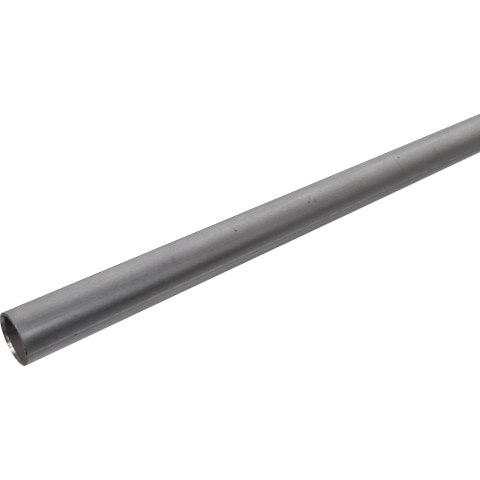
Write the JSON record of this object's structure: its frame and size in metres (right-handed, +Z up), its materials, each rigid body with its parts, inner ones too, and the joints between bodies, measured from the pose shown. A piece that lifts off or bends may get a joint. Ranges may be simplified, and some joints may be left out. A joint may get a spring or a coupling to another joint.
{
  "type": "round steel drive shaft tube",
  "caption": "Plain round welded steel tube cut square at both ends, the stock for a drive shaft, with a through bore, bevelled ends and a scarfed weld seam.",
  "frame": {"origin": "on the ground line, under the middle of the tube's length", "axes": "+X along the tube from the near cut end to the far one, +Z up, and the weld seam on the -Y side, 8 degrees below level"},
  "size_m": [1, 0.0498, 0.05],
  "materials": {
    "mill_steel": "bare cold-drawn steel with a dull grey mill skin"
  },
  "bodies": {
    "root": {"tube": "mill_steel"}
  },
  "joints": []
}
